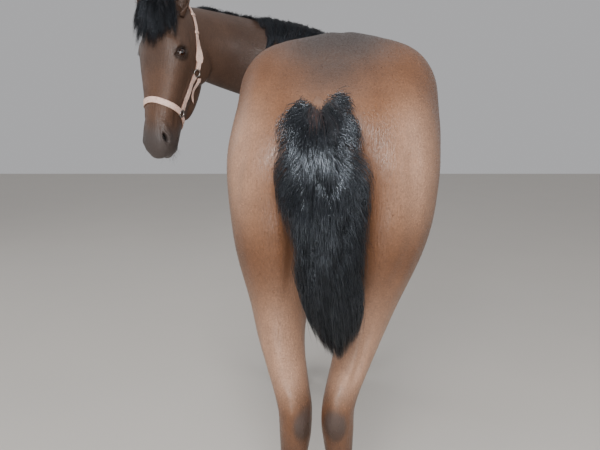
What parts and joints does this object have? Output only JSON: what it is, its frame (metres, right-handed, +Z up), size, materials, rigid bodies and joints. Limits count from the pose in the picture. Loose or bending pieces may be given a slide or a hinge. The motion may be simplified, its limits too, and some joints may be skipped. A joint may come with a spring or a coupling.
{
  "type": "new altai horse",
  "caption": "Life-size still figure of a young bay New Altai horse in a halter, standing square with its neck bent round to the left, looking back over its croup",
  "frame": {"origin": "on the floor, at the middle of the footprint of the whole figure", "axes": "+Z up; +Y the way the trunk points; +X the horse's right side; the head is turned round to -X and looks back along -Y"},
  "size_m": [1.0222, 1.555, 1.7235],
  "materials": {
    "ear_left": "short dark brown coat",
    "ear_right": "short dark brown coat",
    "eye_left": "wet dark brown eye",
    "eye_right": "wet dark brown eye",
    "fore_leg_left": "short black-brown coat of the points",
    "fore_leg_right": "short black-brown coat of the points",
    "forelock": "coarse glossy black horse hair in overlapping locks",
    "halter_cheek_left": "pale pink-beige strap leather",
    "halter_cheek_right": "pale pink-beige strap leather",
    "halter_chin": "pale pink-beige strap leather",
    "halter_crown": "pale pink-beige strap leather",
    "halter_noseband": "pale pink-beige strap leather",
    "halter_ring_lower_left": "dull steel",
    "halter_ring_lower_right": "dull steel",
    "halter_ring_upper_left": "dull steel",
    "halter_ring_upper_right": "dull steel",
    "halter_strap_end": "pale pink-beige strap leather",
    "head": "short dark brown coat",
    "hind_leg_left": "short black-brown coat of the points",
    "hind_leg_right": "short black-brown coat of the points",
    "hoof_fore_left": "grey-black hoof horn",
    "hoof_fore_right": "grey-black hoof horn",
    "hoof_hind_left": "grey-black hoof horn",
    "hoof_hind_right": "grey-black hoof horn",
    "mane_middle": "coarse glossy black horse hair in overlapping locks",
    "mane_poll": "coarse glossy black horse hair in overlapping locks",
    "mane_withers": "coarse glossy black horse hair in overlapping locks",
    "neck": "short dark brown coat",
    "tail": "coarse glossy black horse hair in overlapping locks",
    "torso": "short glossy bay coat"
  },
  "bodies": {
    "root": {"ear_left": "ear_left", "ear_right": "ear_right", "eye_left": "eye_left", "eye_right": "eye_right", "fore_leg_left": "fore_leg_left", "fore_leg_right": "fore_leg_right", "forelock": "forelock", "halter_cheek_left": "halter_cheek_left", "halter_cheek_right": "halter_cheek_right", "halter_chin": "halter_chin", "halter_crown": "halter_crown", "halter_noseband": "halter_noseband", "halter_ring_lower_left": "halter_ring_lower_left", "halter_ring_lower_right": "halter_ring_lower_right", "halter_ring_upper_left": "halter_ring_upper_left", "halter_ring_upper_right": "halter_ring_upper_right", "halter_strap_end": "halter_strap_end", "head": "head", "hind_leg_left": "hind_leg_left", "hind_leg_right": "hind_leg_right", "hoof_fore_left": "hoof_fore_left", "hoof_fore_right": "hoof_fore_right", "hoof_hind_left": "hoof_hind_left", "hoof_hind_right": "hoof_hind_right", "mane_middle": "mane_middle", "mane_poll": "mane_poll", "mane_withers": "mane_withers", "neck": "neck", "tail": "tail", "torso": "torso"}
  },
  "joints": []
}
